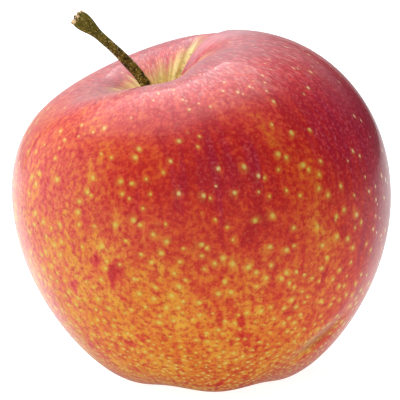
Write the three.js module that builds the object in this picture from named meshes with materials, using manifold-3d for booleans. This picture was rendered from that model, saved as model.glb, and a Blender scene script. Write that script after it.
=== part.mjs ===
// A ripe red apple standing on a table: the fruit, its woody stem and the dried calyx underneath.
// The fruit is one solid, with a deep hollow round the stem and a shallow one round the calyx.
// Millimetres, +Z up, the stem leaning to -X, the origin on the table under the middle of the apple.
import * as THREE from 'three';
import { ParametricGeometry } from 'three/addons/geometries/ParametricGeometry.js';
import { mergeVertices } from 'three/addons/utils/BufferGeometryUtils.js';
import Module from 'manifold-3d';

const degrees = THREE.MathUtils.degToRad;
const FULL_TURN = 2 * Math.PI;

// Free space between a piece and the hole that it stands in.
const GAP = 0.3;

// Fruit, widest ring: a little wider from left to right than from front to back.
const WAIST_RADIUS = 38;
const WAIST_HEIGHT = 37.7;
const WAIST_CENTRE = new THREE.Vector2(0, 0);
const WAIST_OVAL = 0.01;
const WAIST_LEAN = new THREE.Vector3(-0.02, 0, 1);

// Fruit, base ring: five low lobes that carry the weight, each pressed flat where it stands.
const LOBES = 5;
const BASE_RADIUS = 13.8;
const BASE_CENTRE = new THREE.Vector2(1.2, 0);
const BASE_LOBE_LONGITUDE = degrees(277);
const BASE_LOBE_HEIGHT = 0.35;
const BASE_LOBE_SPREAD = 0.02;
const BASE_PRESS = 0.2;
const BASE_BAND = 2;

// Fruit, shoulder ring: the rim of the stem hollow, high on one side, with five valleys across it.
// One is a sharp fold beside the highest lobe, which runs on down the wall of the hollow.
const RIM_RADIUS = 15.6;
const RIM_HEIGHT = 64.8;
const RIM_CENTRE = new THREE.Vector2(-5.4, 0.6);
const RIM_TILT = 5.3;
const RIM_TILT_LONGITUDE = degrees(21);
const RIM_SADDLE = 0.4;
const RIM_CORNERS = 0.05;
const FOLD_LONGITUDE = degrees(55);
const FOLD_DEPTH = 0.5;
const FOLD_SINK = 7;
const FOLD_LOBE_WIDTH = degrees(7);
const FOLD_FAR_WIDTH = degrees(22);
const VALLEY_DEPTH = 0.4;
const VALLEY_DEEPENING = 0.4;
const VALLEY_DEEPEST = degrees(260);
const VALLEY_WIDTH = degrees(18);

// Fullness of the curves: how far each handle reaches towards the next ring.
const BASE_FULLNESS = 0.35;
const FLANK_FULLNESS = 0.53;
const SHOULDER_FULLNESS = 0.48;
const HOLLOW_FULLNESS = 0.35;
const BASIN_FULLNESS = 0.3;

// Stem: a bent woody stalk with a knob at its broken end, standing in a plain socket.
const STEM_FOOT = new THREE.Vector3(-7.5, 0.6, 46.4);
const STEM_FOOT_HANDLE = new THREE.Vector3(-7.75, 0.6, 57);
const STEM_TIP_HANDLE = new THREE.Vector3(-11.05, 0.6, 62.15);
const STEM_TIP = new THREE.Vector3(-25.1, 0.6, 73.4);
const STEM_FOOT_RADIUS = 1.25;
const STEM_NECK_RADIUS = 0.98;
const STEM_KNOB_RADIUS = 1.72;
const STEM_KNOB_START = 0.88;
const STEM_KNOB_FULL = 0.975;
const STEM_END_ROUNDING = 0.14;
const STEM_END_DENT = 0.5;
const SOCKET_MOUTH_HEIGHT = 49;
const SOCKET_RADIUS = STEM_FOOT_RADIUS + GAP;

// Calyx: a button of dried flower parts with five sepals, in a round seat at the top of the basin.
const SEAT_RADIUS = 3.5;
const SEAT_MOUTH_HEIGHT = 8;
const SEAT_DEPTH = 1.5;
const BUTTON_MIDDLE_HEIGHT = 7.3;
const BUTTON_EDGE_HEIGHT = 8.2;
const BUTTON_BEND_RADIUS = 1.6;
const BUTTON_BEND_HEIGHT = 7.6;
const SEPAL_HALF_WIDTH = 1.1;
const SEPAL_HALF_THICKNESS = 0.36;
const SEPAL_ROOT = new THREE.Vector2(2.1, 8.6);
const SEPAL_MIDDLE = new THREE.Vector2(1.7, 5.2);
const SEPAL_TIP = new THREE.Vector2(3.7, 3.7);

// Facets round each piece, and along each stretch of a fruit's meridian from the seat to the socket.
const FRUIT_COLUMNS = 72;
const FRUIT_ROWS = [1, 1, 8, 1, 14, 12, 9, 2, 1];
const STEM_COLUMNS = 14;
const STEM_ROWS = 40;
const SEPAL_COLUMNS = 8;
const SEPAL_ROWS = 8;
const BUTTON_COLUMNS = 25;
const MERGE_DISTANCE = 0.001;

// Plain colours and roughness of the three materials.
const SKIN = { color: 0xb73a33, roughness: 0.35 };
const STEM_WOOD = { color: 0x5c4a22, roughness: 0.8 };
const DRIED_CALYX = { color: 0x5a4a33, roughness: 0.9 };

// Turn from one longitude to another, the shorter way round.
function turnBetween(from, to) {
  return Math.atan2(Math.sin(to - from), Math.cos(to - from));
}

// Share of the fold at a longitude: 1 along it, falling off as a bell, steeper on the high lobe's side.
function foldShare(longitude) {
  const offset = turnBetween(FOLD_LONGITUDE, longitude);
  const width = offset < 0 ? FOLD_LOBE_WIDTH : FOLD_FAR_WIDTH;
  return Math.exp(-((offset / width) ** 2));
}

// Height that the fold and the four softer valleys between the lobes take off the rim at a longitude.
function valleyDepth(longitude) {
  const softDepth = VALLEY_DEPTH + VALLEY_DEEPENING * Math.cos(longitude - VALLEY_DEEPEST);
  let depth = FOLD_DEPTH * foldShare(longitude);
  for (let lobe = 1; lobe < LOBES; lobe += 1) {
    const offset = turnBetween(FOLD_LONGITUDE + (lobe * FULL_TURN) / LOBES, longitude);
    depth += softDepth * Math.exp(-((offset / VALLEY_WIDTH) ** 2));
  }
  return depth;
}

// Bend of a cubic curve at the end that a handle leaves, and the handle that gives a wanted bend.
// The reach is how far the curve's other handle lies to the side of this one.
function bendAt(handle, reach) {
  return ((2 / 3) * reach) / handle ** 2;
}

function handleFor(bend, reach) {
  return Math.sqrt(((2 / 3) * reach) / bend);
}

// The stretches of one meridian, from the middle of the calyx seat over the widest ring to the socket.
// Handles are matched so that the skin bends alike on both sides of the base, the waist and the rim.
function meridian(longitude) {
  const outward = new THREE.Vector3(Math.cos(longitude), Math.sin(longitude), 0);
  const upward = new THREE.Vector3(0, 0, 1);
  const onRing = (centre, radius, height) =>
    new THREE.Vector3(centre.x, centre.y, height).addScaledVector(outward, radius);
  const away = (point, direction, distance) => point.clone().addScaledVector(direction, distance);
  const across = (inner, outer) => outer.clone().sub(inner).dot(outward);

  const lobe = Math.cos(LOBES * (longitude - BASE_LOBE_LONGITUDE));
  const baseHeight = BASE_LOBE_HEIGHT * (1 - lobe) - BASE_PRESS;
  const rimHeight =
    RIM_HEIGHT +
    RIM_TILT * Math.cos(longitude - RIM_TILT_LONGITUDE) -
    RIM_SADDLE * Math.cos(2 * longitude) -
    valleyDepth(longitude);
  const baseRadius = BASE_RADIUS * (1 + BASE_LOBE_SPREAD * lobe);
  const waistRadius = WAIST_RADIUS * (1 + WAIST_OVAL * Math.cos(2 * longitude));
  const rimRadius = RIM_RADIUS * (1 + RIM_CORNERS * Math.cos(3 * longitude));

  const seatFloor = onRing(BASE_CENTRE, SEAT_RADIUS, SEAT_MOUTH_HEIGHT + SEAT_DEPTH);
  const seat = onRing(BASE_CENTRE, SEAT_RADIUS, SEAT_MOUTH_HEIGHT);
  const heel = onRing(BASE_CENTRE, baseRadius - BASE_BAND, baseHeight);
  const base = onRing(BASE_CENTRE, baseRadius, baseHeight);
  const waist = onRing(WAIST_CENTRE, waistRadius, WAIST_HEIGHT);
  const rim = onRing(RIM_CENTRE, rimRadius, rimHeight);
  const socket = onRing(STEM_FOOT, SOCKET_RADIUS, SOCKET_MOUTH_HEIGHT);
  const socketFloor = onRing(STEM_FOOT, SOCKET_RADIUS, STEM_FOOT.z - GAP);

  const flankRise = waist.z - base.z;
  const baseOut = BASE_FULLNESS * across(base, waist);
  const waistDown = FLANK_FULLNESS * flankRise;
  const waistBend = bendAt(waistDown, across(base, waist) - baseOut);
  const baseBend = bendAt(baseOut, flankRise - waistDown);

  const rimOut = SHOULDER_FULLNESS * across(rim, waist);
  const waistUp = handleFor(waistBend, across(rim, waist) - rimOut);
  const rimBend = bendAt(rimOut, rim.z - waist.z - waistUp);

  const socketUp = HOLLOW_FULLNESS * (rim.z - socket.z);
  const rimIn = handleFor(rimBend, rim.z - socket.z - socketUp);
  const sink = FOLD_SINK * foldShare(longitude);
  const seatDown = BASIN_FULLNESS * (seat.z - base.z);
  const heelIn = handleFor(baseBend, seat.z - base.z - seatDown);

  const basin = [seat, away(seat, upward, -seatDown), away(heel, outward, -heelIn), heel];
  const flank = [base, away(base, outward, baseOut), away(waist, WAIST_LEAN, -waistDown), waist];
  const shoulder = [waist, away(waist, WAIST_LEAN, waistUp), away(rim, outward, rimOut), rim];
  const rimHandle = away(rim, outward, -rimIn).addScaledVector(upward, -sink);
  const hollow = [rim, rimHandle, away(socket, upward, socketUp - sink / 2), socket];
  return [
    new THREE.LineCurve3(onRing(BASE_CENTRE, 0, seatFloor.z), seatFloor),
    new THREE.LineCurve3(seatFloor, seat),
    new THREE.CubicBezierCurve3(...basin),
    new THREE.LineCurve3(heel, base),
    new THREE.CubicBezierCurve3(...flank),
    new THREE.CubicBezierCurve3(...shoulder),
    new THREE.CubicBezierCurve3(...hollow),
    new THREE.LineCurve3(socket, socketFloor),
    new THREE.LineCurve3(socketFloor, onRing(STEM_FOOT, 0, socketFloor.z)),
  ];
}

// A point of the fruit's skin: u goes once round the fruit, v along the meridian, nothing below the table.
function fruitPoint(u, v, target) {
  const stretches = meridian(FULL_TURN * (u % 1));
  const allRows = FRUIT_ROWS.reduce((sum, rows) => sum + rows, 0);
  let row = v * allRows;
  let stretch = 0;
  while (row > FRUIT_ROWS[stretch] && stretch < FRUIT_ROWS.length - 1) {
    row -= FRUIT_ROWS[stretch];
    stretch += 1;
  }
  stretches[stretch].getPoint(row / FRUIT_ROWS[stretch], target);
  target.z = Math.max(target.z, 0);
}

// A surface with its shared corners merged and the facets that collapse at its poles dropped.
function closedSurface(surface) {
  surface.deleteAttribute('normal');
  surface.deleteAttribute('uv');
  const merged = mergeVertices(surface, MERGE_DISTANCE);
  const corners = merged.index.array;
  const kept = [];
  for (let i = 0; i < corners.length; i += 3) {
    const [a, b, c] = corners.slice(i, i + 3);
    if (a !== b && b !== c && c !== a) kept.push(a, b, c);
  }
  merged.setIndex(kept);
  merged.computeVertexNormals();
  return merged;
}

// A turned profile laid along a path: each corner keeps its place in the section, and its height,
// as a share of the path, picks the point that the section stands on.
function laidAlong(turned, path, sideways, shapeSection) {
  const corners = turned.attributes.position;
  const corner = new THREE.Vector3();
  for (let i = 0; i < corners.count; i += 1) {
    corner.fromBufferAttribute(corners, i);
    const share = THREE.MathUtils.clamp(corner.y, 0, 1);
    const along = path.getTangent(share);
    const thick = new THREE.Vector3().crossVectors(sideways, along);
    const [wide, deep, sunk] = shapeSection(corner.x, corner.z, share, corner.y);
    const placed = path.getPoint(share).addScaledVector(sideways, wide);
    placed.addScaledVector(thick, deep).addScaledVector(along, sunk);
    corners.setXYZ(i, placed.x, placed.y, placed.z);
  }
  return closedSurface(turned);
}

// Stem radius at a share of its length: stout at the foot, slim at the neck, swollen at the knob.
function stemRadius(share) {
  const foot = (STEM_FOOT_RADIUS - STEM_NECK_RADIUS) * (1 - share) ** 2;
  const swell = THREE.MathUtils.smoothstep(share, STEM_KNOB_START, STEM_KNOB_FULL);
  const rounding = STEM_END_ROUNDING * THREE.MathUtils.smoothstep(share, STEM_KNOB_FULL, 1);
  return STEM_NECK_RADIUS + foot + (STEM_KNOB_RADIUS - STEM_NECK_RADIUS) * swell - rounding;
}

// The stem: its two ends are flat, and the broken one has a dent in the middle.
function stemGeometry() {
  const profile = [new THREE.Vector2(0, 0)];
  for (let row = 0; row <= STEM_ROWS; row += 1) {
    profile.push(new THREE.Vector2(stemRadius(row / STEM_ROWS), row / STEM_ROWS));
  }
  profile.push(new THREE.Vector2(STEM_KNOB_RADIUS / 2, 1 + STEM_END_DENT));
  profile.push(new THREE.Vector2(0, 1 + STEM_END_DENT));
  const path = new THREE.CubicBezierCurve3(STEM_FOOT, STEM_FOOT_HANDLE, STEM_TIP_HANDLE, STEM_TIP);
  const sideways = new THREE.Vector3(0, 1, 0);
  const section = (wide, deep, share, height) => [wide, deep, Math.min(1 - height, 0)];
  return laidAlong(new THREE.LatheGeometry(profile, STEM_COLUMNS), path, sideways, section);
}

// One sepal: a pointed blade, broad at its root and curled outwards at its tip.
function sepalGeometry(longitude) {
  const profile = [new THREE.Vector2(0, 0)];
  for (let row = 0; row < SEPAL_ROWS; row += 1) {
    const share = row / SEPAL_ROWS;
    profile.push(new THREE.Vector2(Math.sqrt(1 - share ** 2), share));
  }
  profile.push(new THREE.Vector2(0, 1));
  const outward = new THREE.Vector2(Math.cos(longitude), Math.sin(longitude));
  const placed = ({ x: radius, y: height }) =>
    new THREE.Vector3(
      BASE_CENTRE.x + radius * outward.x,
      BASE_CENTRE.y + radius * outward.y,
      height,
    );
  const path = new THREE.QuadraticBezierCurve3(
    placed(SEPAL_ROOT),
    placed(SEPAL_MIDDLE),
    placed(SEPAL_TIP),
  );
  const sideways = new THREE.Vector3(-outward.y, outward.x, 0);
  const section = (wide, deep) => [wide * SEPAL_HALF_WIDTH, deep * SEPAL_HALF_THICKNESS, 0];
  return laidAlong(new THREE.LatheGeometry(profile, SEPAL_COLUMNS), path, sideways, section);
}

// The button that the sepals grow from: flat in its seat, domed downwards.
function buttonGeometry() {
  const radius = SEAT_RADIUS - GAP;
  const profile = [
    new THREE.Vector2(0, BUTTON_MIDDLE_HEIGHT),
    new THREE.Vector2(BUTTON_BEND_RADIUS, BUTTON_BEND_HEIGHT),
    new THREE.Vector2(radius, BUTTON_EDGE_HEIGHT),
    new THREE.Vector2(radius, SEAT_MOUTH_HEIGHT + SEAT_DEPTH - GAP),
    new THREE.Vector2(0, SEAT_MOUTH_HEIGHT + SEAT_DEPTH - GAP),
  ];
  const button = new THREE.LatheGeometry(profile, BUTTON_COLUMNS);
  button.rotateX(Math.PI / 2);
  button.translate(BASE_CENTRE.x, BASE_CENTRE.y, 0);
  return closedSurface(button);
}

const wasm = await Module();
wasm.setup();

// A closed surface as a solid that can be joined to another, and a joined solid as a surface again.
function solidFrom(surface) {
  const vertProperties = new Float32Array(surface.attributes.position.array);
  const triVerts = new Uint32Array(surface.index.array);
  return new wasm.Manifold(new wasm.Mesh({ numProp: 3, vertProperties, triVerts }));
}

function surfaceFrom(solid) {
  const { vertProperties, triVerts } = solid.getMesh();
  const surface = new THREE.BufferGeometry();
  surface.setAttribute('position', new THREE.BufferAttribute(vertProperties, 3));
  surface.setIndex(new THREE.BufferAttribute(triVerts, 1));
  surface.computeVertexNormals();
  return surface;
}

// The calyx: the button and its sepals grown together, one sepal over each base lobe.
function calyxGeometry() {
  let calyx = solidFrom(buttonGeometry());
  for (let lobe = 0; lobe < LOBES; lobe += 1) {
    const longitude = BASE_LOBE_LONGITUDE + (lobe * FULL_TURN) / LOBES;
    calyx = calyx.add(solidFrom(sepalGeometry(longitude)));
  }
  return surfaceFrom(calyx);
}

function piece(name, geometry, finish) {
  const mesh = new THREE.Mesh(geometry, new THREE.MeshStandardMaterial(finish));
  mesh.name = name;
  return mesh;
}

const skin = new ParametricGeometry(fruitPoint, FRUIT_COLUMNS, FRUIT_ROWS.reduce((a, b) => a + b, 0));
const apple = new THREE.Group();
apple.add(piece('fruit', closedSurface(skin), SKIN));
apple.add(piece('stem', stemGeometry(), STEM_WOOD));
apple.add(piece('calyx', calyxGeometry(), DRIED_CALYX));

export default apple;
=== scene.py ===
import math
import bpy
import numpy as np
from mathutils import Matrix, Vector


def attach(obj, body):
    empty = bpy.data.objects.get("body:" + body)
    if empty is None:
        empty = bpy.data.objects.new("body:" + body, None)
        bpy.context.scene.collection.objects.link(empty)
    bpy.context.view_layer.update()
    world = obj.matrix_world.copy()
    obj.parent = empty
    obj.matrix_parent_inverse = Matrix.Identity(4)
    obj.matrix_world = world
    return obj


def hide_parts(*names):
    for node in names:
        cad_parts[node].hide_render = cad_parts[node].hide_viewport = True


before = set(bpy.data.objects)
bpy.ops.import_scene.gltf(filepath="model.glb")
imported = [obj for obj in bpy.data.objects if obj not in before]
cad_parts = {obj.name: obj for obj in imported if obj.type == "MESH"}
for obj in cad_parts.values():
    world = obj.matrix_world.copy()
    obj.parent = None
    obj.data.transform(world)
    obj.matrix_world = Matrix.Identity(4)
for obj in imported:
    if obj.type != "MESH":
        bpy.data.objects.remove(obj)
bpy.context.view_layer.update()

# The fruit: skin and flesh grown in one piece, with five lobes, a deep hollow round the stem and a
# basin round the calyx. It stands on the table on its lobes, each pressed flat at its lowest spot.
# Sizes are in millimetres. Longitudes count from the right-hand side, towards the back.
MM = 0.001  # metres in a millimetre
GAP = 0.3  # room round the stem and round the calyx, where they stand in the fruit
LOBES = 5
WAIST_RADIUS = 38.0
WAIST_HEIGHT = 37.7
WAIST_CENTRE = (0.0, 0.0)
WAIST_OVAL = 0.01
WAIST_LEAN = np.array([-0.02, 0.0, 1.0])
BASE_RADIUS = 13.8
BASE_CENTRE = (1.2, 0.0)
BASE_LOBE_LONGITUDE = math.radians(277)
BASE_LOBE_HEIGHT = 0.35
BASE_LOBE_SPREAD = 0.02
BASE_PRESS = 0.2
BASE_BAND = 2.0
RIM_RADIUS = 15.6
RIM_HEIGHT = 64.8
RIM_CENTRE = (-5.4, 0.6)
RIM_TILT = 5.3
RIM_TILT_LONGITUDE = math.radians(21)
RIM_SADDLE = 0.4
RIM_CORNERS = 0.05
FOLD_LONGITUDE = math.radians(55)
FOLD_DEPTH, FOLD_WIDTH, FOLD_FAR_WIDTH = 0.5, math.radians(7), math.radians(22)
FOLD_SINK = 7.0
VALLEY_DEPTH, VALLEY_WIDTH = 0.4, math.radians(18)
VALLEY_DEEPER, VALLEY_DEEPEST = 0.4, math.radians(260)
BASE_FULLNESS = 0.35
FLANK_FULLNESS = 0.53
SHOULDER_FULLNESS = 0.48
HOLLOW_FULLNESS = 0.35
BASIN_FULLNESS = 0.3
STEM_FOOT = np.array([-7.5, 0.6, 46.4])
STEM_FOOT_RADIUS = 1.25
SOCKET_MOUTH_HEIGHT = 49.0
SEAT_RADIUS = 3.5
SEAT_MOUTH_HEIGHT = 8.0
SEAT_DEPTH = 1.5
FRUIT_COLUMNS = 384
BASIN_ROWS, FLANK_ROWS, SHOULDER_ROWS, HOLLOW_ROWS = 38, 80, 72, 48
SEAT_FLOOR_PLACE, HEEL_PLACE, SOCKET_END_PLACE = -1.1, -0.05, 3.1
POLE_PLACES = (-1.2, 3.2)


def cubic(a, b, c, d, steps):
    """Points of cubic curves from a to d with handles b and c, a row for each step after the first."""
    t = np.linspace(0, 1, steps + 1)[1:, None, None]
    s = 1 - t
    return s**3 * a + 3 * s * s * t * b + 3 * s * t * t * c + t**3 * d


def fold_share(longitude):
    """The fold at the deepest valley: 1 along it, falling off as a bell, steeper on the lobe's side."""
    offset = np.angle(np.exp(1j * (longitude - FOLD_LONGITUDE)))
    return np.exp(-((offset / np.where(offset < 0, FOLD_WIDTH, FOLD_FAR_WIDTH)) ** 2))


def valley_depth(longitude):
    """Height off the rim: the fold, and a bell-shaped valley between each two of the other lobes."""
    turns = longitude[:, None] - FOLD_LONGITUDE - 2 * np.pi / LOBES * np.arange(1, LOBES)
    valleys = np.exp(-((np.angle(np.exp(1j * turns)) / VALLEY_WIDTH) ** 2)).sum(-1)
    valley = VALLEY_DEPTH + VALLEY_DEEPER * np.cos(longitude - VALLEY_DEEPEST)
    return FOLD_DEPTH * fold_share(longitude) + valley * valleys


def fruit_rows(longitude):
    """Rows of the skin from the calyx seat to the stem socket, and each row's place on the meridian.

    Every meridian passes the seat, base, waist, rim and socket rings on cubic curves, whose handles
    are matched so that it bends alike on both sides of a ring. Places count -1 seat, 0 base, 1 waist,
    2 rim and 3 socket.
    """
    flat = 0 * longitude
    outward = np.stack([np.cos(longitude), np.sin(longitude), flat], -1)
    upward = np.array([0.0, 0.0, 1.0])

    def ring(centre, radius, height):
        """A ring round a centre, its radius and height given for each longitude."""
        middle = np.stack([centre[0] + flat, centre[1] + flat, height + flat], -1)
        return middle + (radius + flat)[:, None] * outward

    def across(inner, outer):
        """The level distance from one ring out to another."""
        return ((outer - inner) * outward).sum(-1)

    def bend(handle, reach):
        """How sharply a cubic bends at its end: two thirds of its reach over its handle squared."""
        return 2 / 3 * reach / handle**2

    def matched(bend_there, reach):
        """The handle that makes a cubic bend as sharply as the one on the other side of a ring."""
        return np.sqrt(2 / 3 * reach / bend_there)

    def away(point, direction, distance):
        """A point moved a distance along a direction."""
        return point + distance[:, None] * direction

    lobe = np.cos(LOBES * (longitude - BASE_LOBE_LONGITUDE))
    base_height = BASE_LOBE_HEIGHT * (1 - lobe) - BASE_PRESS
    base_radius = BASE_RADIUS * (1 + BASE_LOBE_SPREAD * lobe)
    rim_height = RIM_HEIGHT + RIM_TILT * np.cos(longitude - RIM_TILT_LONGITUDE)
    rim_height = rim_height - RIM_SADDLE * np.cos(2 * longitude) - valley_depth(longitude)
    seat_floor = ring(BASE_CENTRE, SEAT_RADIUS, SEAT_MOUTH_HEIGHT + SEAT_DEPTH)
    seat = ring(BASE_CENTRE, SEAT_RADIUS, SEAT_MOUTH_HEIGHT)
    heel = ring(BASE_CENTRE, base_radius - BASE_BAND, base_height)
    base = ring(BASE_CENTRE, base_radius, base_height)
    waist = ring(WAIST_CENTRE, WAIST_RADIUS * (1 + WAIST_OVAL * np.cos(2 * longitude)), WAIST_HEIGHT)
    rim = ring(RIM_CENTRE, RIM_RADIUS * (1 + RIM_CORNERS * np.cos(3 * longitude)), rim_height)
    socket = ring(STEM_FOOT, STEM_FOOT_RADIUS + GAP, SOCKET_MOUTH_HEIGHT)
    socket_end = ring(STEM_FOOT, STEM_FOOT_RADIUS + GAP, STEM_FOOT[2] - GAP)

    flank_rise = waist[:, 2] - base[:, 2]
    base_out = BASE_FULLNESS * across(base, waist)
    waist_down = FLANK_FULLNESS * flank_rise
    waist_bend = bend(waist_down, across(base, waist) - base_out)
    base_bend = bend(base_out, flank_rise - waist_down)
    rim_out = SHOULDER_FULLNESS * across(rim, waist)
    waist_up = matched(waist_bend, across(rim, waist) - rim_out)
    rim_bend = bend(rim_out, rim[:, 2] - waist[:, 2] - waist_up)
    socket_up = HOLLOW_FULLNESS * (rim[:, 2] - socket[:, 2])
    rim_in = matched(rim_bend, rim[:, 2] - socket[:, 2] - socket_up)
    seat_down = BASIN_FULLNESS * (seat[:, 2] - base[:, 2])
    heel_in = matched(base_bend, seat[:, 2] - base[:, 2] - seat_down)
    sink = FOLD_SINK * fold_share(longitude)

    seat_handle = away(seat, upward, -seat_down)
    heel_handle = away(heel, outward, -heel_in)
    base_handle = away(base, outward, base_out)
    lower_waist_handle = away(waist, WAIST_LEAN, -waist_down)
    upper_waist_handle = away(waist, WAIST_LEAN, waist_up)
    outer_rim_handle = away(rim, outward, rim_out)
    inner_rim_handle = away(away(rim, outward, -rim_in), upward, -sink)
    socket_handle = away(socket, upward, socket_up - sink / 2)
    basin = cubic(seat, seat_handle, heel_handle, heel, BASIN_ROWS)
    flank = cubic(base, base_handle, lower_waist_handle, waist, FLANK_ROWS)
    shoulder = cubic(waist, upper_waist_handle, outer_rim_handle, rim, SHOULDER_ROWS)
    hollow = cubic(rim, inner_rim_handle, socket_handle, socket, HOLLOW_ROWS)
    rows = np.concatenate(
        [seat_floor[None], seat[None], basin, base[None], flank, shoulder, hollow, socket_end[None]]
    )
    rows[..., 2] = np.maximum(rows[..., 2], 0.0)
    place = np.concatenate(
        [
            [SEAT_FLOOR_PLACE, -1.0],
            np.linspace(-1, HEEL_PLACE, BASIN_ROWS),
            [0.0],
            np.linspace(0, 1, FLANK_ROWS + 1)[1:],
            np.linspace(1, 2, SHOULDER_ROWS + 1)[1:],
            np.linspace(2, 3, HOLLOW_ROWS + 1)[1:],
            [SOCKET_END_PLACE],
        ]
    )
    return rows, place


def closed_piece(name, shells):
    """A smooth mesh in metres of one or more shells, each given as rings, two poles and shares along.

    Rings are joined by quads, and each end is closed by a fan round its pole. The UV map runs once
    round each ring, and from ring to ring by the shares.
    """
    points, faces, unwrapped, before = [], [], [], 0
    for rings, first_pole, last_pole, along in shells:
        count, columns = rings.shape[:2]
        here = np.arange(columns)
        there = (here + 1) % columns
        row = np.arange(count - 1)[:, None] * columns
        top = (count - 1) * columns
        quads = np.stack([row + here, row + there, row + columns + there, row + columns + here], -1)
        low_fan = np.stack([0 * here + count * columns, there, here], -1)
        high_fan = np.stack([0 * here + count * columns + 1, top + here, top + there], -1)
        faces += (before + quads.reshape(-1, 4)).tolist()
        faces += (before + low_fan).tolist() + (before + high_fan).tolist()
        low, left = np.meshgrid(along[:-1], here, indexing="ij")
        high = np.broadcast_to(np.asarray(along)[1:, None], low.shape)
        start, end = 0 * here + along[0], 0 * here + along[-1]
        quad_uv = np.stack([left, low, left + 1, low, left + 1, high, left, high], -1).reshape(-1, 2)
        low_uv = np.stack([here + 0.5, start, here + 1, start, here, start], -1).reshape(-1, 2)
        high_uv = np.stack([here + 0.5, end, here, end, here + 1, end], -1).reshape(-1, 2)
        unwrapped += [np.concatenate([quad_uv, low_uv, high_uv]) / [columns, 1]]
        points += [rings.reshape(-1, 3), [first_pole, last_pole]]
        before += count * columns + 2
    mesh = bpy.data.meshes.new(name)
    mesh.from_pydata((np.concatenate(points) * MM).tolist(), [], faces)
    mesh.polygons.foreach_set("use_smooth", np.ones(len(mesh.polygons), dtype=bool))
    mesh.uv_layers.new(name="UVMap").data.foreach_set("uv", np.concatenate(unwrapped).ravel())
    piece = bpy.data.objects.new(name, mesh)
    bpy.context.collection.objects.link(piece)
    return piece


longitudes = np.pi / 2 + np.linspace(0, 2 * np.pi, FRUIT_COLUMNS, endpoint=False)
outward_round = np.stack([np.cos(longitudes), np.sin(longitudes)], -1)
skin_rows, skin_places = fruit_rows(longitudes)
seat_middle = [*BASE_CENTRE, SEAT_MOUTH_HEIGHT + SEAT_DEPTH]
socket_middle = [*STEM_FOOT[:2], STEM_FOOT[2] - GAP]

# Distance along each meridian, counted faster near the base, where the dots crowd together.
DOT_PACE, BASE_CROWDING, BASE_CROWDING_REACH = 0.75, 1.3, 0.45
steps = np.linalg.norm(np.diff(skin_rows, axis=0), axis=-1).mean(-1)
crowding = DOT_PACE + BASE_CROWDING * np.exp(-((skin_places / BASE_CROWDING_REACH) ** 2))
grown = np.concatenate([[0.0], np.cumsum(steps * (crowding[1:] + crowding[:-1]) / 2)])

# A shallow crease, low on the right flank, that runs aslant between two lobes. The skin is measured
# round its radius there, and up the flank.
CREASE_LONGITUDE, CREASE_PLACE = math.radians(322.5), 0.49
CREASE_DEPTH, CREASE_WIDTH, CREASE_LENGTH = 0.6, 2.4, 7.0
CREASE_SLANT = math.radians(42)
CREASE_RADIUS, FLANK_LENGTH = 33.0, 45.0
level = CREASE_RADIUS * np.angle(np.exp(1j * (longitudes - CREASE_LONGITUDE)))[None, :]
climb = FLANK_LENGTH * (skin_places - CREASE_PLACE)[:, None]
along_crease = level * math.cos(CREASE_SLANT) + climb * math.sin(CREASE_SLANT)
across_crease = climb * math.cos(CREASE_SLANT) - level * math.sin(CREASE_SLANT)
crease = np.exp(-((across_crease / CREASE_WIDTH) ** 2) - (along_crease / CREASE_LENGTH) ** 2)
skin_rows[..., :2] -= CREASE_DEPTH * crease[..., None] * outward_round
fruit = closed_piece("apple_fruit", [(skin_rows, seat_middle, socket_middle, grown / grown[-1])])


def mark(piece, name, values, poles):
    """Keeps a value or a vector for each point of a piece of one shell, its rings before its poles."""
    flat = np.concatenate([values.reshape(-1, *values.shape[2:]), poles])
    kind, key = ("FLOAT", "value") if flat.ndim == 1 else ("FLOAT_VECTOR", "vector")
    layer = piece.data.attributes.new(name, kind, "POINT")
    layer.data.foreach_set(key, flat.astype(np.float32).ravel())


def smooth_step(value, low, high):
    """0 below low, 1 above high, and an S-shaped rise between them."""
    t = np.clip((value - low) / (high - low), 0, 1)
    return t * t * (3 - 2 * t)


def degrees_past(longitude, start):
    """How far a longitude lies past a start, the short way round, in degrees."""
    return (longitude - start + 180) % 360 - 180


def patch(longitude, place, at, reach):
    """A soft patch of skin: 1 in its middle, falling off as a bell over degrees and places."""
    offset = degrees_past(longitude, at[0])
    return np.exp(-((offset / reach[0]) ** 2) - ((place - at[1]) / reach[1]) ** 2)


# Growth, for patterns that follow the meridians: as round as the waist, and as high as it has grown.
grid = (len(grown), FRUIT_COLUMNS)
growth_round = np.broadcast_to(WAIST_RADIUS * outward_round, (*grid, 2))
growth_along = np.broadcast_to(grown[:, None, None], (*grid, 1))
growth_ends = [[0.0, 0.0, grown[0]], [0.0, 0.0, grown[-1]]]
mark(fruit, "growth", np.concatenate([growth_round, growth_along], -1), growth_ends)
degrees_round, places = np.meshgrid(np.degrees(longitudes), skin_places)
mark(fruit, "place", places, POLE_PLACES)
mark(fruit, "crease", crease, (0.0, 0.0))

# Where the sun reddened the skin: more towards the rim, deepest on the right shoulder, least low on the
# flank and in a slanting band. A patch has a strength, a longitude and place, and a reach in both.
BLUSH_AT_WAIST, BLUSH_CLIMB, BLUSH_CLIMB_ENDS = 0.70, 0.12, (-0.8, 0.6)
BLUSH_PATCHES = (
    (0.30, (284, 1.22), (30, 0.40)),
    (-0.25, (256, 0.55), (60, 0.45)),
    (-0.12, (240, 1.30), (10, 0.50)),
    (-0.13, (204, 1.10), (26, 0.60)),
    (0.14, (252, 1.12), (22, 0.15)),
    (0.30, (80, 1.30), (45, 0.60)),
    (-0.25, (150, 0.80), (40, 0.70)),
    (-0.25, (319, 0.48), (5, 0.12)),
)
SHOULDER_BLUSH, SHOULDER_AT = 0.50, (339, 1.25)
SHOULDER_REACH, SHOULDER_FAR_REACH, SHOULDER_HEIGHT = 27, 50, 0.65
BAND_BLUSH, BAND_WIDTH, BAND_SLANT = -0.30, 7, 30
BAND_LONGITUDE, BAND_LONGITUDE_PLACE, BAND_MIDDLE, BAND_REACH = 298, 1.3, 1.2, 0.45
POLE_BLUSH = 0.3
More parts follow.
